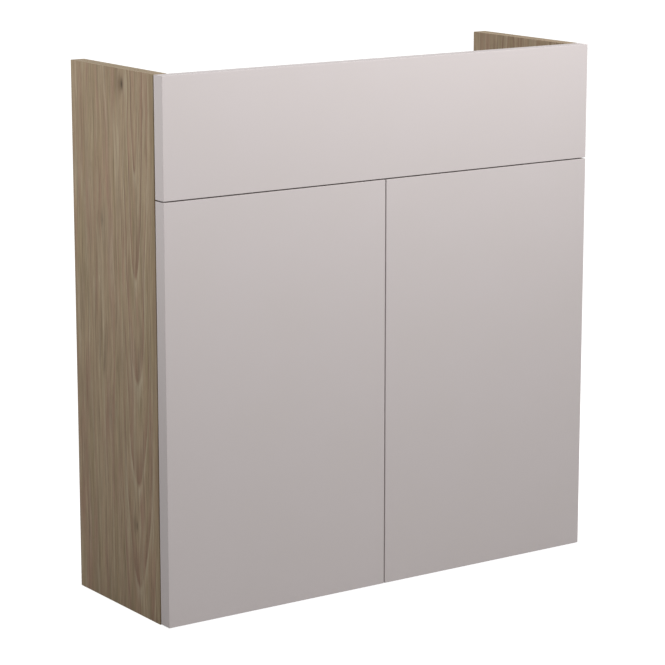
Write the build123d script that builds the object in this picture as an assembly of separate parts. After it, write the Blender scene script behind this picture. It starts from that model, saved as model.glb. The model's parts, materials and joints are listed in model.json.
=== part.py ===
from build123d import *
import math
import os

# Slim two-door base unit for fitted bathroom furniture, open at the top for a basin.
# X runs to the right, Y to the wall and Z up. All sizes are millimetres.
# The origin is the middle of the floor under the whole unit, doors included.

os.makedirs("parts", exist_ok=True)

# Overall sizes
unit_width = 600.0
unit_height = 628.0
carcass_depth = 183.0
front_thickness = 18.0
front_gap = 1.8

# Boards of the carcass
side_thickness = 18.0
base_thickness = 18.0
rail_thickness = 18.0
front_rail_height = 150.0
front_rail_drop = 30.0
rear_top_rail_height = 100.0
rear_top_rail_drop = 60.0
rear_bottom_rail_height = 70.0
board_arris = 0.5

# Fronts
fascia_height = 138.0
joint_between_fronts = 1.4
door_lift = 1.0
front_arris = 0.6

# Clearances
slip_clearance = 0.05
running_clearance = 0.05
rest_clearance = 0.3

# Dowels
dowel_radius = 4.0
dowel_length = 30.0
dowel_depth_in_side = 12.0
dowel_end_space = 0.5
dowel_chamfer = 1.0
dowel_inset = 25.0

# Wall fixing holes in the upper rear rail
wall_hole_radius = 3.25
wall_hole_spacing = 400.0

# Fascia screws and the spacers that hold it off the front rail
fascia_screw_spacing = 400.0
fascia_screw_rise = 30.0
fascia_screw_pitch = 55.0
fascia_screw_radius = 2.0
fascia_screw_bite = 12.0
spacer_radius = 7.0

# Concealed hinges
door_opening = 95.0
hinge_from_end = 90.0
swing_clearance = 0.3
pin_radius = 1.0
pin_length = 15.0
pin_depth = 9.5
eye_radius = 2.0
neck_width = 8.0
neck_thickness = 4.5
neck_side_gap = 0.5
neck_bend = 3.5
arm_height = 11.0
arm_width = 16.0
arm_sheet = 1.5
arm_start = 8.0
arm_taper = 10.0
arm_length = 54.0
arm_tail_slope = 7.0
cup_diameter = 35.0
cup_depth = 13.0
cup_wall = 0.9
cup_pocket_depth = 7.0
cup_rib = 2.0
flange_thickness = 1.0
flange_width = 18.0
flange_length = 62.0
flange_corner = 8.0
flange_offset = 6.0
cup_rim = 1.2
cup_screw_pitch = 48.0
cup_screw_radius = 1.6
cup_screw_length = 11.0
cup_screw_head = 3.4
plate_setback = 37.0
plate_sheet = 1.8
plate_width = 14.0
plate_length = 56.0
plate_block_length = 32.0
plate_block_side_gap = 0.2
plate_block_chamfer = 1.5
plate_screw_pitch = 32.0
plate_screw_radius = 2.5
plate_screw_length = 12.0
plate_screw_head = 4.2
adjuster_radius = 2.0
adjuster_head = 3.5
adjuster_bite = 5.0
adjuster_pitch = 18.0
head_height = 1.8
head_edge = 0.7

# Push latches on the base, one behind the free edge of each door
latch_from_middle = 40.0
latch_setback = 1.0
latch_length = 62.0
latch_width = 13.0
latch_height = 13.0
latch_foot_width = 30.0
latch_foot_thickness = 2.5
latch_foot_length = 16.0
latch_screw_pitch = 22.0
latch_screw_radius = 1.6
latch_screw_length = 12.0
latch_screw_head = 3.2
plunger_radius = 3.4
plunger_travel = 20.0
plunger_guide = 24.0
plunger_tip_radius = 4.6
plunger_tip_length = 1.2
strike_radius = 7.0
strike_thickness = 1.0

# Soft buffers on the backs of the doors
buffer_radius = 4.0
buffer_from_free_edge = 16.0
buffer_from_end = 9.0
buffer_chamfer = 0.5

# Positions worked out from the sizes
half_width = unit_width / 2
inner_x = half_width - side_thickness
total_depth = front_thickness + front_gap + carcass_depth
front_y = -total_depth / 2
door_back_y = front_y + front_thickness
carcass_front_y = door_back_y + front_gap
back_y = total_depth / 2
front_rail_top = unit_height - front_rail_drop
front_rail_bottom = front_rail_top - front_rail_height
rear_top_rail_top = unit_height - rear_top_rail_drop
rear_top_rail_bottom = rear_top_rail_top - rear_top_rail_height
rear_bottom_rail_top = base_thickness + rear_bottom_rail_height
fascia_bottom = unit_height - fascia_height
door_bottom = door_lift
door_top = fascia_bottom - joint_between_fronts
door_inner_x = joint_between_fronts / 2
hinge_heights = {"lower": door_bottom + hinge_from_end, "upper": door_top - hinge_from_end}
latch_axis_z = base_thickness + latch_height / 2
plunger_in_housing = plunger_travel + plunger_guide

# The hinge pin lies as far in from the edge of the door as the swing allows: the
# rounded back corner of the door passes the front edge of the side panel with
# the swing clearance left between them.
swing_radius = pin_depth + front_gap - swing_clearance
pin_from_edge = front_arris + math.sqrt(
    (swing_radius - front_arris) ** 2 - (pin_depth - front_arris) ** 2
)
slot_outer = eye_radius + swing_clearance
cup_from_edge = pin_from_edge - slot_outer - cup_wall
cup_centre = cup_from_edge + cup_diameter / 2
cup_offset = cup_centre - pin_from_edge
panel_offset = side_thickness - pin_from_edge
neck_inner = max(panel_offset, swing_radius) + neck_side_gap
neck_outer = neck_inner + neck_thickness
slot_inner = math.hypot(neck_outer, eye_radius) + swing_clearance
slot_half_width = neck_width / 2 + swing_clearance
slot_depth = pin_depth + eye_radius + swing_clearance
carcass_offset = pin_depth + front_gap
plate_middle = carcass_offset + plate_setback
arm_front = carcass_offset + arm_start
arm_core_back = plate_middle - plate_block_length / 2 - rest_clearance


def box_between(x_pair, y_pair, z_pair):
    """A block between two values along each axis."""
    size = [high - low for low, high in (x_pair, y_pair, z_pair)]
    centre = [(low + high) / 2 for low, high in (x_pair, y_pair, z_pair)]
    return Pos(*centre) * Box(*size)


def round_bar(start, direction, radius, length):
    """A round bar, or the hole for one, from a point along a direction."""
    plane = Plane(origin=start, z_dir=direction)
    return plane * Cylinder(radius, length, align=(Align.CENTER, Align.CENTER, Align.MIN))


def countersink(start, direction, top_radius, bottom_radius, height):
    """A conical seat that narrows along a direction."""
    plane = Plane(origin=start, z_dir=direction)
    cone = Cone(top_radius, bottom_radius, height, align=(Align.CENTER, Align.CENTER, Align.MIN))
    return plane * cone


def turned_screw(head_line, radius, length):
    """A screw turned from the outline of its head, with a pointed end."""
    point = 2 * radius
    profile = make_face(Polyline([*head_line, (radius, length - point), (0, length)], close=True))
    return revolve(Plane.XZ * profile, Axis.Z)


def pan_screw(seat, direction, radius, length, head_radius):
    """A pan head screw that bears on the seat point."""
    head_line = [(0, -head_height), (head_radius - head_edge, -head_height)]
    head_line += [(head_radius, head_edge - head_height), (head_radius, 0), (radius, 0)]
    return Plane(origin=seat, z_dir=direction) * turned_screw(head_line, radius, length)


def flush_screw(seat, direction, radius, length, head_radius, sheet):
    """A countersunk screw, its head as deep as the sheet that it lies flush in."""
    head_line = [(0, 0), (head_radius, 0), (radius, sheet)]
    return Plane(origin=seat, z_dir=direction) * turned_screw(head_line, radius, length)


def flush_hole(seat, direction, radius, head_radius, sheet):
    """The countersunk hole for a flush screw, through its sheet."""
    hole = round_bar(seat, direction, radius + slip_clearance, sheet)
    top = head_radius + slip_clearance
    return hole + countersink(seat, direction, top, radius + slip_clearance, sheet)


def to_right(shape):
    """The same piece on the right half of the unit."""
    return mirror(shape, about=Plane.YZ)


def save(name, *solids):
    """One file for one named piece or group of like pieces."""
    shape = solids[0] if len(solids) == 1 else Compound(children=list(solids))
    export_step(shape, os.path.join("parts", name + ".step"))


def save_pair(name, *solids):
    """The left piece as modelled and its mirror image on the right."""
    save("left_" + name, *solids)
    save("right_" + name, *[to_right(solid) for solid in solids])


# Dowelled joints
def rail_dowel_places(y_low, z_low, z_high):
    """Two dowels near the ends of an upright rail."""
    y_middle = y_low + rail_thickness / 2
    return [(y_middle, z_low + dowel_inset), (y_middle, z_high - dowel_inset)]


def base_dowel_places():
    """Three dowels along each end of the base."""
    middle = (carcass_front_y + back_y) / 2
    rows = (carcass_front_y + dowel_inset, middle, back_y - dowel_inset)
    return [(y, base_thickness / 2) for y in rows]


def dowel(place):
    """A beech dowel across the joint at the inner face of the left side panel."""
    start = (-inner_x - dowel_depth_in_side, *place)
    bar = round_bar(start, (1, 0, 0), dowel_radius, dowel_length)
    ends = bar.edges().filter_by(GeomType.CIRCLE)
    return chamfer(ends, dowel_chamfer)


def dowel_hole_in_side(place):
    depth = dowel_depth_in_side + dowel_end_space
    return round_bar((-inner_x, *place), (-1, 0, 0), dowel_radius + slip_clearance, depth)


def dowel_hole_in_board(place):
    depth = dowel_length - dowel_depth_in_side + dowel_end_space
    return round_bar((-inner_x, *place), (1, 0, 0), dowel_radius + slip_clearance, depth)


def drilled_board(y_pair, z_pair, places):
    """A board between the side panels with dowel holes in both ends."""
    board = box_between((-inner_x, inner_x), y_pair, z_pair)
    holes = [dowel_hole_in_board(place) for place in places]
    return board - holes - [to_right(hole) for hole in holes]


front_rail_y = carcass_front_y
rear_rail_y = back_y - rail_thickness
base_places = base_dowel_places()
front_rail_places = rail_dowel_places(front_rail_y, front_rail_bottom, front_rail_top)
rear_rail_places = rail_dowel_places(rear_rail_y, rear_top_rail_bottom, rear_top_rail_top)
rear_rail_places += rail_dowel_places(rear_rail_y, base_thickness, rear_bottom_rail_top)


# Carcass boards
def side_panel():
    """The left side panel: dowel holes and the screw holes of the hinge plates."""
    panel = box_between((-half_width, -inner_x), (carcass_front_y, back_y), (0, unit_height))
    upright = panel.edges().filter_by(Axis.Z)
    panel = fillet(upright, board_arris)
    for place in base_places + front_rail_places + rear_rail_places:
        panel -= dowel_hole_in_side(place)
    for height in hinge_heights.values():
        for seat in plate_screw_seats(height):
            start = (-inner_x, *seat)
            depth = plate_screw_length - plate_sheet + dowel_end_space
            panel -= round_bar(start, (-1, 0, 0), plate_screw_radius + slip_clearance, depth)
    return panel


def base_panel():
    """The floor of the cupboard, with the pilot holes of the push latches."""
    panel = drilled_board((carcass_front_y, back_y), (0, base_thickness), base_places)
    for seat in latch_screw_seats():
        depth = latch_screw_length - latch_foot_thickness + dowel_end_space
        start = (seat[0], seat[1], base_thickness)
        hole = round_bar(start, (0, 0, -1), latch_screw_radius + slip_clearance, depth)
        panel = panel - hole - to_right(hole)
    return panel


def fascia_screw_places():
    """Four screws, two above two, that draw the fascia onto the front rail."""
    low = fascia_bottom + fascia_screw_rise
    rows = (low, low + fascia_screw_pitch)
    return [(side * fascia_screw_spacing / 2, z) for z in rows for side in (-1, 1)]


def front_rail():
    """The upright rail behind the fascia, with clearance holes for its screws."""
    rail = drilled_board(
        (front_rail_y, front_rail_y + rail_thickness),
        (front_rail_bottom, front_rail_top),
        front_rail_places,
    )
    for x, z in fascia_screw_places():
        rail -= round_bar(
            (x, front_rail_y, z), (0, 1, 0), fascia_screw_radius + slip_clearance, rail_thickness
        )
    return rail


def rear_top_rail():
    """The upper rear rail, with its line of wall fixing holes."""
    rail = drilled_board(
        (rear_rail_y, back_y), (rear_top_rail_bottom, rear_top_rail_top), rear_rail_places[:2]
    )
    middle = (rear_top_rail_bottom + rear_top_rail_top) / 2
    for side in (-1, 1):
        start = (side * wall_hole_spacing / 2, rear_rail_y, middle)
        rail -= round_bar(start, (0, 1, 0), wall_hole_radius, rail_thickness)
    return rail


def rear_bottom_rail():
    """The lower rear rail, standing on the base."""
    return drilled_board(
        (rear_rail_y, back_y), (base_thickness, rear_bottom_rail_top), rear_rail_places[2:]
    )


# Fronts
def front_board(x_pair, z_pair):
    """A foil-wrapped front with every edge softened."""
    board = box_between(x_pair, (front_y, door_back_y), z_pair)
    return fillet(board.edges(), front_arris)


def fascia_panel():
    """The fixed front that hides the bowl of the basin."""
    fascia = front_board((-half_width, half_width), (fascia_bottom, unit_height))
    for x, z in fascia_screw_places():
        fascia -= round_bar(
            (x, door_back_y, z),
            (0, -1, 0),
            fascia_screw_radius + slip_clearance,
            fascia_screw_bite + dowel_end_space,
        )
    return fascia


def fascia_screws():
    """Pan head screws put in from behind the rail."""
    length = rail_thickness + front_gap + fascia_screw_bite
    seat_y = front_rail_y + rail_thickness
    head = 2 * fascia_screw_radius
    return [
        pan_screw((x, seat_y, z), (0, -1, 0), fascia_screw_radius, length, head)
        for x, z in fascia_screw_places()
    ]


def fascia_spacers():
    """Nylon washers that make the shadow gap behind the fascia."""
    washers = []
    for x, z in fascia_screw_places():
        ring = round_bar((x, door_back_y, z), (0, 1, 0), spacer_radius, front_gap)
        hole = round_bar(
            (x, door_back_y, z), (0, 1, 0), fascia_screw_radius + slip_clearance, front_gap
        )
        washers.append(ring - hole)
    return washers


def door_panel():
    """The left door, bored for two hinge cups."""
    door = front_board((-half_width, -door_inner_x), (door_bottom, door_top))
    for height in hinge_heights.values():
        centre = (-half_width + cup_centre, door_back_y, height)
        door -= round_bar(centre, (0, -1, 0), cup_diameter / 2 + slip_clearance, cup_depth)
        for x, z in cup_screw_places(height):
            depth = cup_screw_length - flange_thickness + dowel_end_space
            start = (x, door_back_y, z)
            door -= round_bar(start, (0, -1, 0), cup_screw_radius + slip_clearance, depth)
    return door


# Concealed hinge with one pin. The pin turns with the cup in the door. The arm
# reaches into the cup with a gooseneck, passes under the front edge of the
# side panel and ends in the eye round the pin.
def at_pin(height):
    """Places a hinge piece drawn round its pin."""
    return Pos(-half_width + pin_from_edge, door_back_y - pin_depth, height)


def gooseneck():
    """The neck from the eye to the arm, drawn in plan.

    Its web slopes so that it stays clear of the lip of the cup when the door is wide open.
    """
    opening = math.radians(door_opening)
    mouth = pin_depth + flange_thickness
    lip_x = mouth * math.sin(opening) - slot_outer * math.cos(opening)
    lip_y = slot_outer * math.sin(opening) + mouth * math.cos(opening)
    web_slope = (eye_radius + swing_clearance - lip_y) / lip_x
    web_top = eye_radius - web_slope * neck_inner
    arm_top = panel_offset + arm_height
    corners = [
        (0, -eye_radius),
        (neck_outer, -eye_radius),
        (neck_outer, carcass_offset + neck_bend),
        (arm_top, arm_front + neck_bend),
        (arm_top, arm_core_back),
        (neck_inner, arm_core_back),
        (neck_inner, web_top),
        (0, eye_radius),
    ]
    outline = make_face(Polyline(corners, close=True))
    bends = [v for v in outline.vertices() if v.Y < 0 < v.X]
    outline = fillet(bends, neck_bend)
    outline = outline + Circle(eye_radius)
    solid = extrude(outline, neck_width / 2, both=True)
    return solid - Cylinder(pin_radius + running_clearance, 2 * neck_width)


def hinge_arm():
    """The pressed arm: a channel over the mounting plate, tapered to the gooseneck."""
    low = panel_offset + plate_sheet
    high = panel_offset + arm_height
    end = arm_front + arm_length
    half = arm_width / 2
    nose = neck_width / 2
    plan = [(arm_front, -nose), (arm_front + arm_taper, -half), (end, -half)]
    plan += [(end, half), (arm_front + arm_taper, half), (arm_front, nose)]
    side_plane = Plane(origin=(low, 0, 0), x_dir=(0, 1, 0), z_dir=(1, 0, 0))
    shell = extrude(side_plane * make_face(Polyline(plan, close=True)), high - low)
    top_edges = shell.edges().filter_by(Axis.Y).group_by(Axis.X)[-1]
    shell = fillet(top_edges, arm_sheet)
    tail_edges = shell.edges().filter_by(Axis.Z).group_by(Axis.Y)[-1].group_by(Axis.X)[0]
    shell = chamfer(tail_edges, arm_tail_slope)
    hollow = box_between(
        (low, high - arm_sheet),
        (arm_core_back, end),
        (arm_sheet - half, half - arm_sheet),
    )
    arm = shell - hollow + gooseneck()
    slot_half = adjuster_radius + slip_clearance
    for y in adjuster_places():
        arm -= round_bar((low, y, 0), (1, 0, 0), slot_half, high - low)
    return arm - box_between((low, high), (adjuster_places()[-1], end), (-slot_half, slot_half))


def adjuster_places():
    """The two screws that clamp and adjust the arm on its plate."""
    return (plate_middle - adjuster_pitch / 2, plate_middle + adjuster_pitch / 2)


def hinge_adjusters():
    """Machine screws through the arm into the block of the plate."""
    seat_x = panel_offset + arm_height
    length = arm_sheet + adjuster_bite
    return [
        pan_screw((seat_x, y, 0), (-1, 0, 0), adjuster_radius, length, adjuster_head)
        for y in adjuster_places()
    ]


def hinge_plate():
    """The mounting plate: an oblong foot on the side panel and the block under the arm."""
    foot_plane = Plane(origin=(panel_offset, plate_middle, 0), x_dir=(0, 1, 0), z_dir=(1, 0, 0))
    foot = extrude(foot_plane * Rot(0, 0, 90) * SlotOverall(plate_length, plate_width), plate_sheet)
    block_top = panel_offset + arm_height - arm_sheet
    block_half = arm_width / 2 - arm_sheet - plate_block_side_gap
    block = box_between(
        (panel_offset, block_top),
        (plate_middle - plate_block_length / 2, plate_middle + plate_block_length / 2),
        (-block_half, block_half),
    )
    block = chamfer(block.edges().filter_by(Axis.Z).group_by(Axis.X)[-1], plate_block_chamfer)
    plate = foot + block
    for y in adjuster_places():
        depth = adjuster_bite + dowel_end_space
        plate -= round_bar(
            (block_top, y, 0), (-1, 0, 0), adjuster_radius + slip_clearance, depth
        )
    face_x = panel_offset + plate_sheet
    for side in (-1, 1):
        seat = (face_x, plate_middle, side * plate_screw_pitch / 2)
        plate -= flush_hole(seat, (-1, 0, 0), plate_screw_radius, plate_screw_head, plate_sheet)
    return plate


def plate_screw_seats(height):
    """Where the plate screws enter the side panel, as Y and Z."""
    y = carcass_front_y + plate_setback
    return [(y, height - plate_screw_pitch / 2), (y, height + plate_screw_pitch / 2)]


def plate_screws(height):
    """Countersunk screws that hold the plate to the side panel."""
    return [
        flush_screw(
            (-inner_x + plate_sheet, *seat),
            (-1, 0, 0),
            plate_screw_radius,
            plate_screw_length,
            plate_screw_head,
            plate_sheet,
        )
        for seat in plate_screw_seats(height)
    ]


def cup_screw_places(height):
    """Where the cup screws enter the door, as X and Z."""
    x = -half_width + cup_centre + flange_offset
    return [(x, height - cup_screw_pitch / 2), (x, height + cup_screw_pitch / 2)]


def cup_screws(height):
    """Countersunk screws through the wings of the cup."""
    return [
        flush_screw(
            (x, door_back_y + flange_thickness, z),
            (0, -1, 0),
            cup_screw_radius,
            cup_screw_length,
            cup_screw_head,
            flange_thickness,
        )
        for x, z in cup_screw_places(height)
    ]


def hinge_cup():
    """The die-cast cup: rim and wings on the door, two pockets and the slot of the gooseneck."""
    mouth = pin_depth + flange_thickness
    mouth_plane = Plane(origin=(cup_offset, mouth, 0), x_dir=(1, 0, 0), z_dir=(0, -1, 0))
    radius = cup_diameter / 2
    wings = Pos(flange_offset, 0) * RectangleRounded(flange_width, flange_length, flange_corner)
    straight_side = Pos(-cup_diameter, 0) * Rectangle(cup_diameter, cup_diameter)
    flange = Circle(radius + cup_rim) + wings - straight_side
    cup = extrude(mouth_plane * Circle(radius), cup_depth + flange_thickness)
    cup += extrude(mouth_plane * flange, flange_thickness)
    rib_width = 2 * (slot_half_width + cup_rib)
    pocket_face = Circle(radius - cup_wall - cup_rib) - Rectangle(cup_diameter, rib_width)
    cup -= extrude(mouth_plane * pocket_face, flange_thickness + cup_pocket_depth)
    cup -= box_between(
        (-slot_outer, slot_inner),
        (pin_depth - slot_depth, mouth),
        (-slot_half_width, slot_half_width),
    )
    cup -= Cylinder(pin_radius + slip_clearance, pin_length)
    for side in (-1, 1):
        seat = (cup_offset + flange_offset, mouth, side * cup_screw_pitch / 2)
        cup -= flush_hole(seat, (0, -1, 0), cup_screw_radius, cup_screw_head, flange_thickness)
    return cup


def hinge_pin():
    """The pin, held in the cup and running in the eye of the arm."""
    return Cylinder(pin_radius, pin_length)


# Push latch
latch_x = -latch_from_middle
latch_front_y = carcass_front_y + latch_setback
strike_face_y = door_back_y + strike_thickness
tip_front_y = strike_face_y + rest_clearance
plunger_back_y = latch_front_y + plunger_in_housing


def latch_screw_seats():
    """Where the screws of the left latch enter the base."""
    y = latch_front_y + latch_length - latch_foot_length / 2
    return [
        (latch_x - latch_screw_pitch / 2, y, base_thickness + latch_foot_thickness),
        (latch_x + latch_screw_pitch / 2, y, base_thickness + latch_foot_thickness),
    ]


def latch_housing():
    """A moulded barrel on a screwed foot, bored for the plunger."""
    barrel = box_between(
        (latch_x - latch_width / 2, latch_x + latch_width / 2),
        (latch_front_y, latch_front_y + latch_length),
        (base_thickness, base_thickness + latch_height),
    )
    long_edges = barrel.edges().filter_by(Axis.Y).group_by(Axis.Z)[-1]
    barrel = fillet(long_edges, latch_width / 4)
    foot_back = latch_front_y + latch_length
    foot = box_between(
        (latch_x - latch_foot_width / 2, latch_x + latch_foot_width / 2),
        (foot_back - latch_foot_length, foot_back),
        (base_thickness, base_thickness + latch_foot_thickness),
    )
    foot = fillet(foot.edges().filter_by(Axis.Z), latch_foot_thickness)
    depth = plunger_in_housing + rest_clearance
    bore = round_bar(
        (latch_x, latch_front_y, latch_axis_z),
        (0, 1, 0),
        plunger_radius + running_clearance,
        depth,
    )
    housing = barrel + foot - bore
    for seat in latch_screw_seats():
        housing -= round_bar(
            seat, (0, 0, -1), latch_screw_radius + slip_clearance, latch_foot_thickness
        )
    return housing


def latch_screws():
    return [
        pan_screw(seat, (0, 0, -1), latch_screw_radius, latch_screw_length, latch_screw_head)
        for seat in latch_screw_seats()
    ]


def latch_plunger():
    """The sliding rod that pushes the door open."""
    start_y = tip_front_y + plunger_tip_length
    return round_bar(
        (latch_x, start_y, latch_axis_z), (0, 1, 0), plunger_radius, plunger_back_y - start_y
    )


def plunger_tip():
    """The buffer on the end of the plunger."""
    start = (latch_x, tip_front_y, latch_axis_z)
    disc = round_bar(start, (0, 1, 0), plunger_tip_radius, plunger_tip_length)
    return chamfer(disc.edges().group_by(Axis.Y)[0], plunger_tip_length / 3)


def strike_plate():
    """The steel disc on the door that the plunger bears on."""
    start = (latch_x, door_back_y, latch_axis_z)
    disc = round_bar(start, (0, 1, 0), strike_radius, strike_thickness)
    return chamfer(disc.edges().group_by(Axis.Y)[-1], strike_thickness / 3)


def door_buffers():
    """Two round buffers near the free edge of the left door."""
    height = front_gap - rest_clearance
    x = -door_inner_x - buffer_from_free_edge
    rail_z = (front_rail_bottom + door_top) / 2
    buffers = []
    for z in (door_bottom + buffer_from_end, rail_z):
        disc = round_bar((x, door_back_y, z), (0, 1, 0), buffer_radius, height)
        buffers.append(chamfer(disc.edges().group_by(Axis.Y)[-1], buffer_chamfer))
    return buffers


# Files of the carcass
save_pair("side_panel", side_panel())
save("base_panel", base_panel())
save("front_rail", front_rail())
save("rear_top_rail", rear_top_rail())
save("rear_bottom_rail", rear_bottom_rail())
save("fascia_panel", fascia_panel())
save("fascia_screws", *fascia_screws())
save("fascia_spacers", *fascia_spacers())
for group, places in (
    ("base_dowels", base_places),
    ("front_rail_dowels", front_rail_places),
    ("rear_rail_dowels", rear_rail_places),
):
    left_dowels = [dowel(place) for place in places]
    save(group, *left_dowels, *[to_right(each) for each in left_dowels])

# Files of the doors, hinges and latches
save_pair("door_panel", door_panel())
save_pair("door_buffers", *door_buffers())
save_pair("strike_plate", strike_plate())
save_pair("latch_housing", latch_housing())
save_pair("latch_screws", *latch_screws())
save_pair("latch_plunger", latch_plunger())
save_pair("latch_plunger_tip", plunger_tip())
arm = hinge_arm()
plate = hinge_plate()
cup = hinge_cup()
pin = hinge_pin()
adjusters = hinge_adjusters()
for level, height in hinge_heights.items():
    place = at_pin(height)
    save_pair(level + "_hinge_arm", place * arm)
    save_pair(level + "_hinge_adjusters", *[place * each for each in adjusters])
    save_pair(level + "_hinge_plate", place * plate)
    save_pair(level + "_hinge_plate_screws", *plate_screws(height))
    save_pair(level + "_hinge_cup", place * cup)
    save_pair(level + "_hinge_cup_screws", *cup_screws(height))
    save_pair(level + "_hinge_pin", place * pin)
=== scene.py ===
import json
import math

import bmesh
import bpy
from bpy.props import FloatProperty, FloatVectorProperty, PointerProperty
from mathutils import Matrix, Vector


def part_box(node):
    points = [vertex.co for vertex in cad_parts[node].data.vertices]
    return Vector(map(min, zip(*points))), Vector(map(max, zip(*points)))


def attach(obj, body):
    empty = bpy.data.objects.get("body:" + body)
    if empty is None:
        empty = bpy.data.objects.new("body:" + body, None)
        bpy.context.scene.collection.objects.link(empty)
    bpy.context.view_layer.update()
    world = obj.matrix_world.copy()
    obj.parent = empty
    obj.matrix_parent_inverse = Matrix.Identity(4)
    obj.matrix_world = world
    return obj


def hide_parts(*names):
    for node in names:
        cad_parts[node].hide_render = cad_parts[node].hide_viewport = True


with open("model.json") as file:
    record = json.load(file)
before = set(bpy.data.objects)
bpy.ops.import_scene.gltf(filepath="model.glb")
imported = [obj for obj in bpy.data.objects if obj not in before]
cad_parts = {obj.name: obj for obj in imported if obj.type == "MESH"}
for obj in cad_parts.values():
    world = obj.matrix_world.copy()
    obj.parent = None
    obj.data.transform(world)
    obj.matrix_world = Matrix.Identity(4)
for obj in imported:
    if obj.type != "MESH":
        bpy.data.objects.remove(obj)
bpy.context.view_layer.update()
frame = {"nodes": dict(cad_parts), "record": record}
BODY_OF = {node: body for body, nodes in frame["record"]["behaviour"]["bodies"].items() for node in nodes}

bl_info = {
    "name": "Slim Basin Unit Looks",
    "version": (1, 0, 0),
    "blender": (4, 5, 0),
    "location": "3D View > Sidebar > Basin Unit",
    "description": "Finishes, fastenings and studio for a slim two-door basin unit",
    "category": "Object",
}

MM = 0.001
CARCASS_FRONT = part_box("left_side_panel")[0][1]
SIDES = ("left", "right")
LEVELS = ("lower", "upper")
BLACK = (0.0, 0.0, 0.0, 1.0)
WHITE = (1.0, 1.0, 1.0, 1.0)

# Noises of the oak print: the size of their cells across and along the grain in millimetres, their
# seed, and how far they sway the grain in millimetres or which part of their range shows. Where no
# size across is given, it is the width in the settings.
PATTERNS = {
    "wander": {"across": 50, "along": 170, "seed": 3.1, "detail": 1.0, "sway": 14},
    "ripple": {"across": 9, "along": 60, "seed": 8.4, "detail": 2.0, "sway": 3},
    "broken": {"across": 10, "along": 60, "seed": 5.7, "detail": 3.0, "shown": (0.28, 0.55)},
    "warm": {"across": 12, "along": 150, "seed": 12.3, "roughness": 0.55, "shown": (0.46, 0.66)},
    "olive": {"across": 11, "along": 170, "seed": 21.7, "roughness": 0.55, "shown": (0.46, 0.65)},
    "streak": {"along": 130, "seed": 1.9, "detail": 3.0, "roughness": 0.6, "shown": (0.46, 0.69)},
    "smoke": {"across": 5, "along": 140, "seed": 57.0, "roughness": 0.55, "shown": (0.50, 0.72)},
    "vein": {"across": 2.2, "along": 120, "seed": 73.0, "roughness": 0.55, "shown": (0.54, 0.74)},
    "fibre": {"along": 45, "seed": 31.0, "detail": 3.0, "roughness": 0.6},
    "pore": {"along": 14, "seed": 44.0, "detail": 2.0, "shown": (0.60, 0.74)},
}
# A growth ring ends in a late band that darkens, and a pale outline runs over its end
RING_STOPS = {
    "late": ((0.0, BLACK), (0.55, BLACK), (0.92, WHITE), (0.97, BLACK)),
    "outline": ((0.0, WHITE), (0.16, BLACK), (0.93, BLACK), (1.0, WHITE)),
}
# The growth lines are full near the heart and fade to a share of that far from it
FLAME_NEAR = 10 * MM
FLAME_FAR = 55 * MM
FLAME_FADED = 0.22
# Layers of the print from the ground up: pattern, colour, and how strongly it covers what is below
LAYERS = (
    ("warm", "warm", 0.62),
    ("olive", "olive", 0.62),
    ("late", "warm", 0.75),
    ("late", "line", 0.34),
    ("outline", "pale", 0.62),
    ("streak", "pale", 0.45),
    ("smoke", "line", 0.32),
    ("vein", "line", 0.44),
)
PORE_STRENGTH = 0.26
# How strongly the painted shade beside the front edge covers the print
FRONT_EDGE_SHADE_STRENGTH = 0.4

# Parts of a knot: place across from its middle, half width and half length, each as a number of
# sizes of the knot, and strength
KNOT_PARTS = {
    "push": (0.0, 5.0, 11.0, 0.75),
    "core": (0.0, 1.25, 2.9, 1.0),
    "brown": (2.4, 3.2, 6.5, 0.8),
    "pale": (-3.4, 1.8, 7.5, 0.65),
}
# Knots of a board: place across, place along and size in millimetres, and depth of colour
LEFT_KNOTS = ((-14, 611, 2.2, 0.85), (-33, 105, 2.0, 0.45), (34, 452, 2.6, 0.25))
RIGHT_KNOTS = ((52, 240, 2.2, 0.5),)

# A worked material's gloss follows its pattern by this share to either side
GLOSS_SWING = 0.15

# Kinds of screw: radius of the head, radius of the shank and, where the head is flush, thickness of
# the sheet that it sits in, in millimetres
SCREWS = {
    "fascia_screws": (4.0, 2.0, None),
    "adjusters": (3.5, 2.0, None),
    "plate_screws": (4.2, 2.5, 1.8),
    "cup_screws": (3.4, 1.6, 1.0),
    "latch_screws": (3.2, 1.6, None),
}
SCREW_SIDES = 24
RINGS_PER_TURN = 5
CREST_WIDTH = 0.32
POINT_LENGTH = 2.0
RECESS_TAPER = 0.72
TURN_OF_NEXT_SCREW = 0.7
# Outlines as shares of the radius and of the height: a pan head from its top, a buffer from its foot
PAN_CURVE = ((0.66, 1.0), (0.82, 0.94), (0.94, 0.74), (1.0, 0.42), (1.0, 0.0))
BUFFER_CURVE = ((0.96, 0.0), (1.0, 0.08), (0.97, 0.34), (0.86, 0.60), (0.68, 0.80), (0.44, 0.94), (0.18, 1.0))
BUFFER_RADIUS = 4.0 * MM
BUFFER_SIDES = 32
SHARP_EDGE = math.radians(32)
# A box narrower than this number of radii holds one row of round pieces
ONE_ROW = 2.5

# Soft boxes: name, place, the point that it faces, width and height, and the setting of its power
SOFT_BOXES = (
    ("front_soft_box", (0.295, -1.009, 1.248), (0.1, -0.1, 1.373), (1.3, 0.7), "key_power"),
    ("side_soft_box", (-0.912, -0.002, 0.695), (-0.3, 0, 1.225), (0.9, 0.7), "side_power"),
    ("rear_soft_box", (0.15, 0.84, 0.6), (0.1, 0.1, 0.95), (1.3, 0.7), "rear_power"),
)
FLOOR_HALF_WIDTH = 30.0
FLOOR_LIFT = 0.86
SENSOR_WIDTH = 36.0


def linear(code):
    """Turns an sRGB hex code into a linear colour with alpha."""
    parts = [int(code[i : i + 2], 16) / 255 for i in (1, 3, 5)]
    return [p / 12.92 if p <= 0.04045 else ((p + 0.055) / 1.055) ** 2.4 for p in parts] + [1.0]


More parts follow.
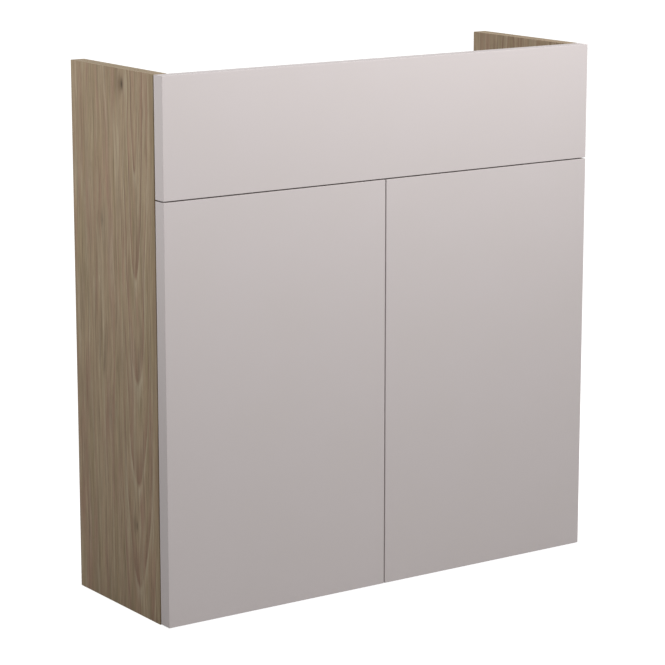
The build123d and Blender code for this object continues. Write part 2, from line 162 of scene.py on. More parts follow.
def colour(name, description, code):
    """A colour that a user may change, with its default as a hex code."""
    return FloatVectorProperty(
        name=name, description=description, subtype="COLOR", size=4, min=0, max=1, default=linear(code)
    )


def length(name, description, millimetres):
    """A length that a user may change, with its default in millimetres."""
    return FloatProperty(
        name=name, description=description, unit="LENGTH", precision=5, min=1e-5, default=millimetres * MM
    )


def share(name, description, part):
    """A part of another size that a user may change."""
    return FloatProperty(name=name, description=description, subtype="FACTOR", min=0, max=1, default=part)


def angle(name, description, degrees):
    """An angle that a user may change, with its default in degrees."""
    return FloatProperty(
        name=name, description=description, subtype="ANGLE", default=math.radians(degrees)
    )


def power(name, description, watts):
    """The power of a lamp, which a user may change."""
    return FloatProperty(name=name, description=description, unit="POWER", min=0, default=watts)


class OakBoardSettings(bpy.types.PropertyGroup):
    """Printed oak pattern of the carcass boards."""

    ground: colour("Ground", "Greyish brown between the growth lines", "#A08D74")
    pale: colour("Pale streaks", "Washed streaks along the grain", "#B4A68F")
    warm: colour("Warm patches", "Pinkish brown patches", "#987968")
    olive: colour("Olive patches", "Greenish grey patches", "#908064")
    line: colour("Growth lines", "Dark late wood lines and pores", "#6B5844")
    knot: colour("Knots", "Heart of the knots", "#3E3226")
    knot_face: length("Knot face", "Distance of the faces that show knots from the middle", 291.0)
    # Width of the band of painted shade beside the front edge, where the board meets the fronts
    front_edge_shade_width: length("Edge band", "Width of the darker band at the front edge", 11.0)
    ring_width: length("Growth ring width", "Width of one growth ring", 9.0)
    flame_taper: FloatProperty(
        name="Flame taper", description="Slope of the growth rings against the face", default=0.075, min=0
    )
    streak_width: length("Streak width", "Width of the broad streaks", 7.0)
    fibre_width: length("Fibre width", "Width of the fine fibres, drawn coarse enough to show", 1.6)
    pore_width: length("Pore width", "Width of the pores, drawn coarse enough to show", 0.9)


class FrontFoilSettings(bpy.types.PropertyGroup):
    """Matt foil on the fascia and doors."""

    foil: colour("Foil", "Pearl grey of the fronts", "#CAC2C2")
    foil_tint: colour("Foil tint", "Slightly warmer grey in broad soft patches", "#C8C0BE")
    grit: length("Foil texture", "Size of the fine matt texture", 0.7)


class HardwareSettings(bpy.types.PropertyGroup):
    """Hinges, latches and fastenings."""

    zinc: colour("Cast zinc", "Satin nickel plating on the castings", "#BDBAB4")
    steel: colour("Pressed steel", "Nickel plating on the pressings", "#C6C2BA")
    plated: colour("Screws", "Bright zinc plating", "#C9CBCD")
    acetal: colour("Acetal", "Grey moulding of the latches", "#A3A29E")
    beech: colour("Beech", "Bare dowels", "#C6A37A")
    nylon: colour("Nylon", "Milky spacers", "#DEDBD3")
    buffer: colour("Buffer", "Clear soft buffers", "#D3D6D4")
    tip: colour("Plunger tip", "Dark soft tip", "#3A3A3C")


class FasteningSettings(bpy.types.PropertyGroup):
    """Threads and recesses of the screws."""

    thread_pitch: length("Thread pitch", "Rise of the thread in one turn", 1.4)
    thread_depth: share("Thread depth", "Depth of the thread as a share of the screw's radius", 0.26)
    recess_reach: share("Recess reach", "Reach of the cross recess as a share of the head's radius", 0.58)
    recess_wing: share("Recess wing", "Half width of a wing as a share of the head's radius", 0.13)
    recess_sink: share("Recess depth", "Depth of the recess as a share of the head's radius", 0.36)
    pan_height: length("Pan head height", "Height of a pan head over its seat", 1.8)


class StudioSettings(bpy.types.PropertyGroup):
    """Floor, light and camera."""

    floor: colour("Floor", "Pale floor", "#B4B4B3")
    lens: FloatProperty(
        name="Lens", description="Focal length", default=142.1, min=10, subtype="DISTANCE_CAMERA"
    )
    turn: angle("Turn", "Direction of the view round the unit, from straight in front", 34.61)
    tilt: angle("Tilt", "Downward tilt of the view", 12.07)
    place: FloatVectorProperty(
        name="Camera place",
        description="Where the camera stands",
        subtype="TRANSLATION",
        size=3,
        default=(-1.760, -2.5425, 0.951),
    )
    key_power: power("Front light", "Power of the soft box over the front", 17.2)
    side_power: power("Side light", "Power of the soft box over the left side", 2.44)
    rear_power: power("Rear light", "Power of the soft box over the back", 5.4)
    ambient: FloatProperty(
        name="Room light", description="Even light from all round", default=0.58, min=0
    )


SETTINGS = {
    "basin_unit_oak": OakBoardSettings,
    "basin_unit_foil": FrontFoilSettings,
    "basin_unit_hardware": HardwareSettings,
    "basin_unit_fastenings": FasteningSettings,
    "basin_unit_studio": StudioSettings,
}


# Shader building
def add_node(tree, kind, settings=None, links=None, stops=None):
    """Adds a node: its own settings, its inputs as values or links, and the stops of a ramp."""
    made = tree.nodes.new(kind)
    for name, value in (settings or {}).items():
        setattr(made, name, value)
    for name, value in (links or {}).items():
        socket = made.inputs[name]
        if isinstance(value, bpy.types.NodeSocket):
            tree.links.new(value, socket)
        else:
            socket.default_value = value
    if stops:
        ramp = made.color_ramp
        while len(ramp.elements) < len(stops):
            ramp.elements.new(1.0)
        for element, (place, value) in zip(ramp.elements, stops):
            element.position = place
            element.color = value
    return made


def new_material(name, **constants):
    """A material with one shader, and the shader's constants set on its own sockets."""
    material = bpy.data.materials.new(name)
    material.use_nodes = True
    tree = material.node_tree
    tree.nodes.clear()
    shader = add_node(tree, "ShaderNodeBsdfPrincipled")
    output = add_node(tree, "ShaderNodeOutputMaterial")
    tree.links.new(shader.outputs["BSDF"], output.inputs["Surface"])
    for name, value in constants.items():
        shader.inputs[name.replace("_", " ")].default_value = value
    return material, tree, shader


def dress(nodes, material):
    """Gives CAD nodes a material in place of the plain one."""
    for name in nodes:
        target = frame["nodes"][name]
        target.data.materials.clear()
        target.data.materials.append(material)


def add_noise(tree, vector, scale=1.0, detail=2.0, roughness=0.5):
    """A noise over a place, from zero to one."""
    links = {"Vector": vector, "Scale": scale, "Detail": detail, "Roughness": roughness}
    return add_node(tree, "ShaderNodeTexNoise", links=links).outputs["Fac"]


def mix_colours(tree, amount, base, layer, mode="MIX"):
    """Lays one colour over another: a mix node's colours are its inputs 6 and 7 and its output 2."""
    settings = {"data_type": "RGBA", "blend_type": mode}
    return add_node(tree, "ShaderNodeMix", settings, {0: amount, 6: base, 7: layer}).outputs[2]


def emboss(tree, shader, height, depth, strength):
    """Gives a surface a relief of a real depth."""
    links = {"Height": height, "Distance": depth, "Strength": strength}
    bump = add_node(tree, "ShaderNodeBump", links=links)
    tree.links.new(bump.outputs[0], shader.inputs["Normal"])


def oak_board(name, order, heart, apex, lipped_and_edge_shaded=False, knots=()):
    """Oak-effect melamine board: printed grain under a matt embossed face.

    The order gives the axes through the board, across the grain and along it. The growth rings
    lie about the heart, a place across the board, and the face cuts them into nested flames that
    point towards the apex, a place along it. Each knot is a place across and along the board, a
    size and a depth of colour. On an edged board the edging's grain runs along the ends, and a
    darker olive band of painted shade lies beside the front edge, where the board meets the fronts.
    """
    look = bpy.context.scene.basin_unit_oak
    # Melamine facing: matt, with a soft gloss that the pores break up
    material, tree, shader = new_material(name, IOR=1.5, Specular_IOR_Level=0.2)
    place = add_node(tree, "ShaderNodeTexCoord")
    axes = add_node(tree, "ShaderNodeSeparateXYZ", links={"Vector": place.outputs["Object"]})
    through, across, along = (axes.outputs["XYZ".index(letter)] for letter in order)

    def maths(operation, *terms):
        """One step of arithmetic on the grain."""
        settings = {"operation": operation}
        return add_node(tree, "ShaderNodeMath", settings, dict(enumerate(terms))).outputs[0]

    def stretched(value, low, high, to_low=0.0, to_high=1.0):
        """A part of a pattern's range, smoothly stretched over another range."""
        links = {"Value": value, "From Min": low, "From Max": high, "To Min": to_low, "To Max": to_high}
        settings = {"interpolation_type": "SMOOTHSTEP"}
        return add_node(tree, "ShaderNodeMapRange", settings, links).outputs[0]

    def noise(pattern, vector):
        """A noise whose cells have a real width across the grain and a real length along it."""
        row = {"detail": 2.5, "roughness": 0.5, "shown": None} | PATTERNS[pattern]
        wide = row["across"] * MM if "across" in row else getattr(look, pattern + "_width")
        links = {
            "Vector": vector,
            "Location": (row["seed"], row["seed"] * 0.7, row["seed"] * 1.3),
            "Scale": (1 / wide, 1 / wide, 1 / (row["along"] * MM)),
        }
        sized = add_node(tree, "ShaderNodeMapping", links=links)
        value = add_noise(tree, sized.outputs[0], detail=row["detail"], roughness=row["roughness"])
        return stretched(value, *row["shown"]) if row["shown"] else value

    def sway(pattern, vector):
        """A sideways sway of the grain, to and fro about its line."""
        swing = PATTERNS[pattern]["sway"] * MM
        return maths("MULTIPLY_ADD", noise(pattern, vector), swing, -0.5 * swing)

    def blend(amount, base, layer, mode="MIX"):
        """Lays one colour of the print over another."""
        return mix_colours(tree, amount, base, layer, mode)

    def spot_at(aside, above, half_width, half_length):
        """A soft round spot, one in its middle and fading to zero."""
        beside = maths("POWER", maths("ABSOLUTE", maths("DIVIDE", aside, half_width)), 2.0)
        along_it = maths("DIVIDE", above, half_length)
        return maths("EXPONENT", maths("MULTIPLY", maths("MULTIPLY_ADD", along_it, along_it, beside), -1.0))

    if lipped_and_edge_shaded:
        normal = add_node(tree, "ShaderNodeSeparateXYZ", links={"Vector": place.outputs["Normal"]})
        ends = maths("GREATER_THAN", maths("ABSOLUTE", normal.outputs["XYZ".index(order[2])]), 0.7)
        across, along = (
            add_node(tree, "ShaderNodeMix", links={0: ends, 2: face, 3: edge}).outputs[0]
            for face, edge in ((across, through), (along, across))
        )

    # The grain parts round each knot, brown on one side and pale where the fibres crowd
    marks = dict.fromkeys(("brown", "pale", "core"), 0.0)
    parted = across
    for knot_across, knot_along, knot_size, depth in knots:
        aside = maths("SUBTRACT", across, knot_across * MM)
        above = maths("SUBTRACT", along, knot_along * MM)
        spots = {}
        for part, (shift, half_width, half_length, strength) in KNOT_PARTS.items():
            size = knot_size * MM
            beside = maths("SUBTRACT", aside, shift * size)
            spot = spot_at(beside, above, half_width * size, half_length * size)
            spots[part] = maths("MULTIPLY", spot, strength)
        parted = maths("SUBTRACT", parted, maths("MULTIPLY", aside, spots["push"]))
        for part in marks:
            marks[part] = maths("MAXIMUM", marks[part], maths("MULTIPLY", spots[part], depth))
    straight = add_node(tree, "ShaderNodeCombineXYZ", links={0: through, 1: parted, 2: along}).outputs[0]
    swayed = maths("ADD", parted, maths("ADD", sway("wander", straight), sway("ripple", straight)))
    field = add_node(tree, "ShaderNodeCombineXYZ", links={0: through, 1: swayed, 2: along}).outputs[0]

    # Growth rings about the heart: each ends in a warm late band with a pale outline
    from_heart = maths("SUBTRACT", swayed, heart)
    sunk = maths("MULTIPLY_ADD", along, -look.flame_taper, apex * look.flame_taper)
    radius = maths("SQRT", maths("MULTIPLY_ADD", from_heart, from_heart, maths("MULTIPLY", sunk, sunk)))
    ring = maths("FRACT", maths("DIVIDE", radius, look.ring_width))
    near = stretched(maths("ABSOLUTE", from_heart), FLAME_NEAR, FLAME_FAR, 1.0, FLAME_FADED)
    drawn = maths("MULTIPLY", near, noise("broken", field))
    shown = {}
    for name, stops in RING_STOPS.items():
        ramp = add_node(tree, "ShaderNodeValToRGB", links={"Fac": ring}, stops=stops)
        shown[name] = maths("MULTIPLY", ramp.outputs[0], drawn)

    # Patches, streaks, fibres and pores
    for name in ("warm", "olive", "streak", "smoke", "vein", "fibre", "pore"):
        shown[name] = noise(name, field)
    shade = look.ground
    for name, tone, strength in LAYERS:
        shade = blend(maths("MULTIPLY", shown[name], strength), shade, getattr(look, tone))
    dappled = stretched(shown["fibre"], low=0.28, high=0.72, to_low=0.85, to_high=1.17)
    shade = blend(1.0, shade, dappled, "MULTIPLY")
    shade = blend(maths("MULTIPLY", shown["pore"], PORE_STRENGTH), shade, look.line)
    # Painted shade: a darker olive band beside the front edge, where the board meets the fronts
    if lipped_and_edge_shaded:
        begins = CARCASS_FRONT + look.front_edge_shade_width
        full = CARCASS_FRONT + 0.4 * look.front_edge_shade_width
        band = stretched(across, begins, full, to_high=FRONT_EDGE_SHADE_STRENGTH)
        shade = blend(band, shade, look.olive)
    if knots:
        outer_face = maths("GREATER_THAN", maths("ABSOLUTE", through), look.knot_face)
        marks["core"] = maths("MULTIPLY", marks["core"], outer_face)
        for part, tone in (("brown", look.line), ("pale", look.pale), ("core", look.knot)):
            shade = blend(marks[part], shade, tone)
    tree.links.new(shade, shader.inputs["Base Color"])

    # The embossed plate follows the pores, a few hundredths of a millimetre deep
    relief = maths("SUBTRACT", maths("MULTIPLY", shown["fibre"], 0.5), shown["pore"])
    roughness = stretched(relief, low=-0.4, high=0.35, to_low=0.88, to_high=0.74)
    tree.links.new(roughness, shader.inputs["Roughness"])
    emboss(tree, shader, relief, depth=0.05 * MM, strength=0.5)
    return material


def front_foil():
    """Foil-wrapped fibreboard: even, dead matt, with a very fine hammered texture."""
    look = bpy.context.scene.basin_unit_foil
    # PVC foil: its IOR lies a little over 1.5, and the matt emboss spreads every highlight
    material, tree, shader = new_material(
        "matt_pearl_grey_foil", IOR=1.5, Roughness=0.65, Specular_IOR_Level=0.25
    )
    place = add_node(tree, "ShaderNodeTexCoord").outputs["Object"]
    cloud = add_noise(tree, place, scale=1 / (90 * MM), detail=3.0)
    shade = mix_colours(tree, cloud, look.foil, look.foil_tint)
    tree.links.new(shade, shader.inputs["Base Color"])
    grit = add_noise(tree, place, scale=1 / look.grit)
    emboss(tree, shader, grit, depth=0.02 * MM, strength=0.35)
    return material


def worked_material(name, ground, grain, contrast, relief, stretch=(1, 1, 1), **constants):
    """A material whose colour, gloss and surface follow one fine pattern of a real size."""
    material, tree, shader = new_material(name, **constants)
    place = add_node(tree, "ShaderNodeTexCoord")
    scale = [1 / (grain * part) for part in stretch]
    sized = add_node(
        tree, "ShaderNodeMapping", links={"Vector": place.outputs["Object"], "Scale": scale}
    )
    pattern = add_noise(tree, sized.outputs[0], detail=4.0)

    def following(middle, swing):
        """A value that follows the pattern by a share of itself to either side."""
        links = {
            "Value": pattern,
            "From Min": 0.3,
            "From Max": 0.7,
            "To Min": middle * (1 - swing),
            "To Max": middle * (1 + swing),
        }
        return add_node(tree, "ShaderNodeMapRange", links=links).outputs[0]

    shade = mix_colours(tree, 1.0, ground, following(1.0, contrast), "MULTIPLY")
    tree.links.new(shade, shader.inputs["Base Color"])
    tree.links.new(following(constants["Roughness"], GLOSS_SWING), shader.inputs["Roughness"])
    emboss(tree, shader, pattern, depth=relief, strength=0.6)
    return material


# Fastenings
def add_ring(bm, place, radii, depth):
    """A ring of points about an axis, at a depth along it."""
    step = 2 * math.pi / len(radii)
    return [
        bm.verts.new(place @ Vector((radius * math.cos(i * step), radius * math.sin(i * step), depth)))
        for i, radius in enumerate(radii)
    ]


def join_rings(bm, rings):
    """Faces between each ring and the next."""
    for ring, following in zip(rings, rings[1:]):
        for i in range(len(ring)):
            bm.faces.new((ring[i - 1], ring[i], following[i], following[i - 1]))


def places_in(node, inward, radius, below_top):
    """Where a CAD node's round pieces stand: each one's axis runs inward from the node's outer side."""
    low, high = (Vector(corner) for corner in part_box(node))
    inward = Vector(inward)
    axis = next(i for i in range(3) if inward[i])
    rows = []
    for i in range(3):
        if i == axis:
            top = high[i] if inward[i] < 0 else low[i]
            rows.append([top + inward[i] * below_top])
        elif high[i] - low[i] < ONE_ROW * radius:
            rows.append([(low[i] + high[i]) / 2])
        else:
            rows.append([low[i] + radius, high[i] - radius])
    turned = inward.to_track_quat("Z", "Y").to_matrix().to_4x4()
    spots = [Matrix.Translation((x, y, z)) @ turned for x in rows[0] for y in rows[1] for z in rows[2]]
    return spots, high[axis] - low[axis] - below_top


def add_piece(name, bm, node, material):
    """A finished mesh that stands for a CAD node and moves with its body."""
    bmesh.ops.recalc_face_normals(bm, faces=bm.faces)
    mesh = bpy.data.meshes.new(name)
    bm.to_mesh(mesh)
    bm.free()
    mesh.shade_smooth()
    mesh.set_sharp_from_angle(angle=SHARP_EDGE)
    mesh.materials.append(material)
    piece = bpy.data.objects.new(name, mesh)
    bpy.context.collection.objects.link(piece)
    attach(piece, BODY_OF[node])
    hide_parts(node)


def add_recess(bm, place, rim, top):
    """A tapered cross recess in the flat top of a head, with the flat round it up to the rim."""
    look = bpy.context.scene.basin_unit_fastenings
    head_radius = (rim[0].co - place @ Vector((0, 0, top))).length
    reach = look.recess_reach * head_radius
    wing = look.recess_wing * head_radius
    quarter = [(reach, -wing), (reach, wing), (wing, wing)]
    outline = []
    for _ in range(4):
        outline += quarter
        quarter = [(-y, x) for x, y in quarter]
    loops = [
        [bm.verts.new(place @ Vector((x * taper, y * taper, top + sink))) for x, y in outline]
        for taper, sink in ((1.0, 0.0), (RECESS_TAPER, look.recess_sink * head_radius))
    ]
    join_rings(bm, loops)
    bm.faces.new(loops[1])
    borders = [
        bm.edges.get((loop[i - 1], loop[i])) for loop in (rim, loops[0]) for i in range(len(loop))
    ]
    bmesh.ops.triangle_fill(bm, use_beauty=True, use_dissolve=False, edges=borders)


def add_screw(bm, place, head_line, radius, reach):
    """A screw from the line of its head, down from the rim of its flat top to the shank and tip."""
    look = bpy.context.scene.basin_unit_fastenings
    rings = [add_ring(bm, place, [r] * SCREW_SIDES, depth) for r, depth in head_line]
    shank_start = head_line[-1][1]
    core = radius * (1 - look.thread_depth)
    steps = math.ceil((reach - shank_start) / (look.thread_pitch / RINGS_PER_TURN))
    for step in range(1, steps):
        depth = shank_start + (reach - shank_start) * step / steps
        taper = min(1.0, (reach - depth) / (POINT_LENGTH * radius))
        run_in = min(1.0, (depth - shank_start) / look.thread_pitch)
        radii = []
        for i in range(SCREW_SIDES):
            phase = (depth / look.thread_pitch - i / SCREW_SIDES) % 1
            crest = max(0.0, 1 - abs(phase - 0.5) / CREST_WIDTH)
            radii.append(taper * (core + (radius - core) * crest * run_in))
        rings.append(add_ring(bm, place, radii, depth))
    join_rings(bm, rings)
    tip = bm.verts.new(place @ Vector((0, 0, reach)))
    for i in range(SCREW_SIDES):
        bm.faces.new((rings[-1][i - 1], rings[-1][i], tip))
    add_recess(bm, place, rings[0], head_line[0][1])


def add_screws(node, inward, material):
    """The screws that stand for a CAD node: pan heads, or flush ones in a sheet."""
    sizes = next(row for kind, row in SCREWS.items() if node.endswith(kind))
    head_radius, radius, sheet = (size and size * MM for size in sizes)
    if sheet:
        above = 0.0
        head_line = [(0.95 * head_radius, 0.0), (head_radius, 0.05 * head_radius), (radius, sheet)]
    else:
        above = bpy.context.scene.basin_unit_fastenings.pan_height
        head_line = [(across * head_radius, -up * above) for across, up in PAN_CURVE] + [(radius, 0.0)]
    spots, reach = places_in(node, inward, head_radius, above)
    bm = bmesh.new()
    for order, spot in enumerate(spots):
        turned = spot @ Matrix.Rotation(order * TURN_OF_NEXT_SCREW, 4, "Z")
        add_screw(bm, turned, head_line, radius, reach)
    add_piece(node + "_threaded", bm, node, material)


def add_buffers(node, material):
    """Domed buffers stuck to the back of a door, flat side down."""
    spots, height = places_in(node, (0, 1, 0), BUFFER_RADIUS, 0.0)
    bm = bmesh.new()
    for spot in spots:
        rings = [
            add_ring(bm, spot, [across * BUFFER_RADIUS] * BUFFER_SIDES, up * height)
            for across, up in BUFFER_CURVE
        ]
        join_rings(bm, rings)
        bm.faces.new(rings[0])
        bm.faces.new(rings[-1])
    add_piece(node + "_domed", bm, node, material)


class BASINUNIT_OT_side_panels(bpy.types.Operator):
    """Dresses the two oak-effect side panels"""

    bl_idname = "basin_unit.side_panels"
    bl_label = "Side Panels"

    def execute(self, context):
        left = oak_board(
            "oak_melamine_left_side", "XYZ", heart=-40 * MM, apex=628 * MM, lipped_and_edge_shaded=True, knots=LEFT_KNOTS
        )
        right = oak_board(
            "oak_melamine_right_side", "XYZ", heart=26 * MM, apex=560 * MM, lipped_and_edge_shaded=True, knots=RIGHT_KNOTS
        )
        dress(["left_side_panel"], left)
        dress(["right_side_panel"], right)
        return {"FINISHED"}


class BASINUNIT_OT_cross_boards(bpy.types.Operator):
    """Dresses the base and the rails between the side panels"""

    bl_idname = "basin_unit.cross_boards"
    bl_label = "Base and Rails"

    def execute(self, context):
        dress(["base_panel"], oak_board("oak_melamine_base", "ZYX", heart=30 * MM, apex=200 * MM))
        rails = ("front_rail", "rear_top_rail", "rear_bottom_rail")
        dress(rails, oak_board("oak_melamine_rail", "YZX", heart=540 * MM, apex=150 * MM))
        return {"FINISHED"}


class BASINUNIT_OT_fronts(bpy.types.Operator):
    """Dresses the fascia and the two doors"""

    bl_idname = "basin_unit.fronts"
    bl_label = "Fascia and Doors"

    def execute(self, context):
        dress(["fascia_panel", "left_door_panel", "right_door_panel"], front_foil())
        return {"FINISHED"}


class BASINUNIT_OT_dowels(bpy.types.Operator):
    """Dresses the beech dowels and the nylon spacers"""

    bl_idname = "basin_unit.dowels"
    bl_label = "Dowels and Spacers"

    def execute(self, context):
        look = context.scene.basin_unit_hardware
        # Turned beech: short fine flecks along the dowel, no finish
        beech = worked_material(
            "turned_beech",
            look.beech,
            grain=0.6 * MM, contrast=0.12, relief=0.03 * MM, stretch=(12, 1, 1),
            Roughness=0.65,
        )
        dress(["base_dowels", "front_rail_dowels", "rear_rail_dowels"], beech)
        # Moulded nylon: milky, with a faint waxy gloss
        nylon = worked_material(
            "moulded_nylon",
            look.nylon,
            grain=0.4 * MM, contrast=0.03, relief=0.01 * MM,
            Roughness=0.45, IOR=1.53, Subsurface_Weight=0.1,
        )
        dress(["fascia_spacers"], nylon)
        return {"FINISHED"}


class BASINUNIT_OT_hinges(bpy.types.Operator):
    """Dresses the cups, arms, plates and pins of the four hinges"""

    bl_idname = "basin_unit.hinges"
    bl_label = "Hinges"

    def execute(self, context):
        look = context.scene.basin_unit_hardware
        places = [f"{side}_{level}_hinge" for side in SIDES for level in LEVELS]
        # Die-cast zinc under satin nickel: a slightly grainy cast skin
        cast = worked_material(
            "satin_nickel_cast_zinc",
            look.zinc,
            grain=0.5 * MM, contrast=0.05, relief=0.02 * MM,
            Metallic=1.0, Roughness=0.36,
        )
        dress([p + "_cup" for p in places] + [p + "_plate" for p in places], cast)
        # Pressed steel strip under nickel: fine rolling lines along the arm
        pressed = worked_material(
            "nickel_pressed_steel",
            look.steel,
            grain=0.25 * MM, contrast=0.05, relief=0.008 * MM, stretch=(1, 24, 1),
            Metallic=1.0, Roughness=0.27,
        )
        dress([p + "_arm" for p in places], pressed)
        # Ground steel pin: fine rings round it
        ground = worked_material(
            "ground_steel_pin",
            look.plated,
            grain=0.12 * MM, contrast=0.04, relief=0.004 * MM, stretch=(20, 20, 1),
            Metallic=1.0, Roughness=0.2,
        )
        dress([p + "_pin" for p in places], ground)
        return {"FINISHED"}


class BASINUNIT_OT_latches(bpy.types.Operator):
    """Dresses the push latches, their strike plates and the door buffers"""

    bl_idname = "basin_unit.latches"
    bl_label = "Latches and Buffers"

    def execute(self, context):
        look = context.scene.basin_unit_hardware
        # Moulded acetal: spark-eroded mould texture, low sheen
        acetal = worked_material(
            "moulded_acetal",
            look.acetal,
            grain=0.3 * MM, contrast=0.04, relief=0.015 * MM,
            Roughness=0.55, IOR=1.48, Specular_IOR_Level=0.35,
        )
        dress([f"{s}_latch_{part}" for s in SIDES for part in ("housing", "plunger")], acetal)
        # Soft elastomer: dull, takes dust
        elastomer = worked_material(
            "dark_elastomer",
            look.tip,
            grain=0.4 * MM, contrast=0.10, relief=0.01 * MM,
            Roughness=0.75, IOR=1.5,
        )
        dress([f"{s}_latch_plunger_tip" for s in SIDES], elastomer)
        # Clear polyurethane: light passes through, the rim shows bright
        clear = worked_material(
            "clear_polyurethane",
            look.buffer,
            grain=1.0 * MM, contrast=0.02, relief=0.004 * MM,
            Roughness=0.18, IOR=1.49, Transmission_Weight=0.75,
        )
        for side in SIDES:
            add_buffers(f"{side}_door_buffers", clear)
        # Nickel-plated disc: lapped, with a low haze
        plated = worked_material(
            "nickel_strike_plate",
            look.steel,
            grain=0.25 * MM, contrast=0.05, relief=0.006 * MM, stretch=(1, 1, 18),
            Metallic=1.0, Roughness=0.3,
        )
        dress([f"{s}_strike_plate" for s in SIDES], plated)
        return {"FINISHED"}


class BASINUNIT_OT_screws(bpy.types.Operator):
    """Makes the threaded screws of the fascia, hinges and latches"""

    bl_idname = "basin_unit.screws"
    bl_label = "Screws"

    def execute(self, context):
        look = context.scene.basin_unit_hardware
        # Bright zinc plate on steel: cool and slightly cloudy
        plated = worked_material(
            "zinc_plated_steel",
            look.plated,
            grain=0.6 * MM, contrast=0.06, relief=0.006 * MM,
            Metallic=1.0, Roughness=0.3,
        )
        add_screws("fascia_screws", (0, -1, 0), plated)
        for side, outward in zip(SIDES, (-1, 1)):
            for level in LEVELS:
                hinge = f"{side}_{level}_hinge"
                add_screws(hinge + "_adjusters", (outward, 0, 0), plated)
                add_screws(hinge + "_plate_screws", (outward, 0, 0), plated)
                add_screws(hinge + "_cup_screws", (0, -1, 0), plated)
            add_screws(side + "_latch_screws", (0, 0, -1), plated)
        return {"FINISHED"}


class BASINUNIT_OT_studio(bpy.types.Operator):
    """Builds the floor, the soft light and the camera"""

    bl_idname = "basin_unit.studio"
    bl_label = "Studio"

    def execute(self, context):
        look = context.scene.basin_unit_studio
        context.scene.view_settings.view_transform = "Standard"
        lay_floor(context, look)
        light_room(context, look)
        for name, place, target, size, setting in SOFT_BOXES:
            hang_soft_box(context, name, place, target, size, getattr(look, setting))
        set_camera(context, look)
        return {"FINISHED"}


def seen_ray(tree):
    """One for a ray that shows the background itself, and zero for light that falls on the unit."""
    path = add_node(tree, "ShaderNodeLightPath")
    seen = path.outputs["Is Camera Ray"]
    for kind in ("Is Glossy Ray", "Is Transmission Ray"):
        links = {0: seen, 1: path.outputs[kind]}
        seen = add_node(tree, "ShaderNodeMath", {"operation": "MAXIMUM"}, links).outputs[0]
    return seen


def lay_floor(context, look):
    """A wide pale floor that keeps the soft shadow of the unit."""
    half = FLOOR_HALF_WIDTH
    mesh = bpy.data.meshes.new("studio_floor")
    corners = [(-half, -half, 0), (half, -half, 0), (half, half, 0), (-half, half, 0)]
    mesh.from_pydata(corners, [], [(0, 1, 2, 3)])
    floor = bpy.data.objects.new("studio_floor", mesh)
    context.collection.objects.link(floor)
    # Matt painted floor: even, with a pale lift where it is looked at
    material, tree, shader = new_material("matt_floor_paint", Roughness=0.9)
    shader.inputs["Base Color"].default_value = look.floor
    shader.inputs["Specular IOR Level"].default_value = 0.0
    lift = add_node(tree, "ShaderNodeMath", {"operation": "MULTIPLY"}, {0: seen_ray(tree), 1: FLOOR_LIFT})
    glow = add_node(tree, "ShaderNodeEmission", links={"Strength": lift.outputs[0]})
    lifted = add_node(tree, "ShaderNodeAddShader", links={0: shader.outputs[0], 1: glow.outputs[0]})
    output = next(each for each in tree.nodes if each.type == "OUTPUT_MATERIAL")
    tree.links.new(lifted.outputs[0], output.inputs["Surface"])
    mesh.materials.append(material)


def light_room(context, look):
    """Even light from all round, and white where the background itself is seen."""
    world = bpy.data.worlds.new("studio_room")
    world.use_nodes = True
    tree = world.node_tree
    tree.nodes.clear()
    room = add_node(tree, "ShaderNodeBackground", links={"Color": WHITE, "Strength": look.ambient})
    white = add_node(tree, "ShaderNodeBackground", links={"Color": WHITE, "Strength": 1.0})
    mix = add_node(
        tree, "ShaderNodeMixShader", links={0: seen_ray(tree), 1: room.outputs[0], 2: white.outputs[0]}
    )
    add_node(tree, "ShaderNodeOutputWorld", links={"Surface": mix.outputs[0]})
    context.scene.world = world


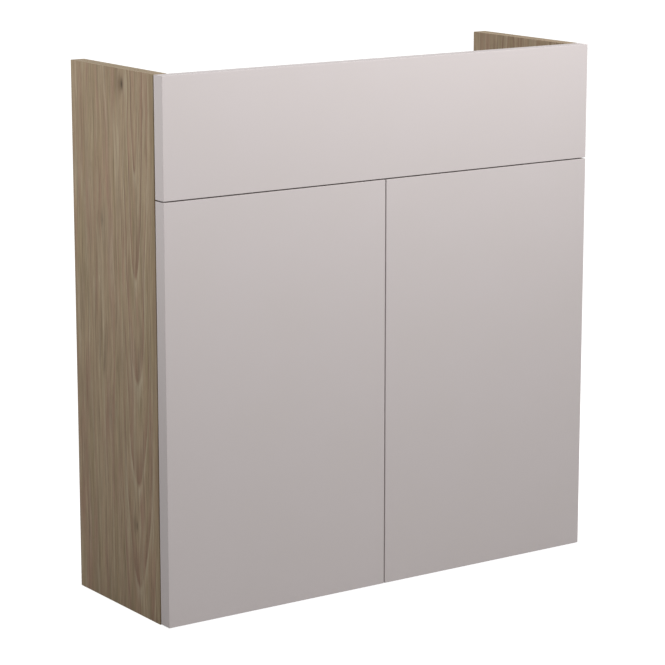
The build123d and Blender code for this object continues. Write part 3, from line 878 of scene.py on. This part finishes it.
def hang_soft_box(context, name, place, target, size, watts):
    """A rectangular soft box that points at a target."""
    data = bpy.data.lights.new(name, "AREA")
    data.shape = "RECTANGLE"
    data.size, data.size_y = size
    data.energy = watts
    lamp = bpy.data.objects.new(name, data)
    context.collection.objects.link(lamp)
    lamp.location = place
    lamp.visible_camera = False
    lamp.rotation_euler = (Vector(target) - Vector(place)).to_track_quat("-Z", "Y").to_euler()


def set_camera(context, look):
    """The camera at the viewing angle of the photograph."""
    data = bpy.data.cameras.new("studio_camera")
    data.sensor_width = SENSOR_WIDTH
    data.lens = look.lens
    camera = bpy.data.objects.new("studio_camera", data)
    context.collection.objects.link(camera)
    flat = math.cos(look.tilt)
    view = Vector((math.sin(look.turn) * flat, math.cos(look.turn) * flat, -math.sin(look.tilt)))
    camera.location = look.place
    camera.rotation_euler = view.to_track_quat("-Z", "Y").to_euler()
    context.scene.camera = camera


OPERATORS = (
    BASINUNIT_OT_side_panels,
    BASINUNIT_OT_cross_boards,
    BASINUNIT_OT_fronts,
    BASINUNIT_OT_dowels,
    BASINUNIT_OT_hinges,
    BASINUNIT_OT_latches,
    BASINUNIT_OT_screws,
    BASINUNIT_OT_studio,
)


class BASINUNIT_PT_sidebar(bpy.types.Panel):
    """Lists the pieces of the basin unit and their settings"""

    bl_idname = "BASINUNIT_PT_sidebar"
    bl_label = "Basin Unit"
    bl_space_type = "VIEW_3D"
    bl_region_type = "UI"
    bl_category = "Basin Unit"

    def draw(self, context):
        for operator in OPERATORS:
            self.layout.operator(operator.bl_idname)
        for key, group in SETTINGS.items():
            box = self.layout.box()
            box.label(text=group.__doc__)
            for name in group.__annotations__:
                box.prop(getattr(context.scene, key), name)


CLASSES = (*SETTINGS.values(), *OPERATORS, BASINUNIT_PT_sidebar)


def register():
    for each in CLASSES:
        bpy.utils.register_class(each)
    for key, group in SETTINGS.items():
        setattr(bpy.types.Scene, key, PointerProperty(type=group))


def unregister():
    for key in SETTINGS:
        delattr(bpy.types.Scene, key)
    for each in reversed(CLASSES):
        bpy.utils.unregister_class(each)


def main():
    """Registers the classes, dresses every piece and builds the studio."""
    register()
    for operator in OPERATORS:
        group, name = operator.bl_idname.split(".")
        if getattr(getattr(bpy.ops, group), name)() != {"FINISHED"}:
            raise RuntimeError(f"{operator.bl_label} did not finish")


if __name__ == "__main__":
    main()
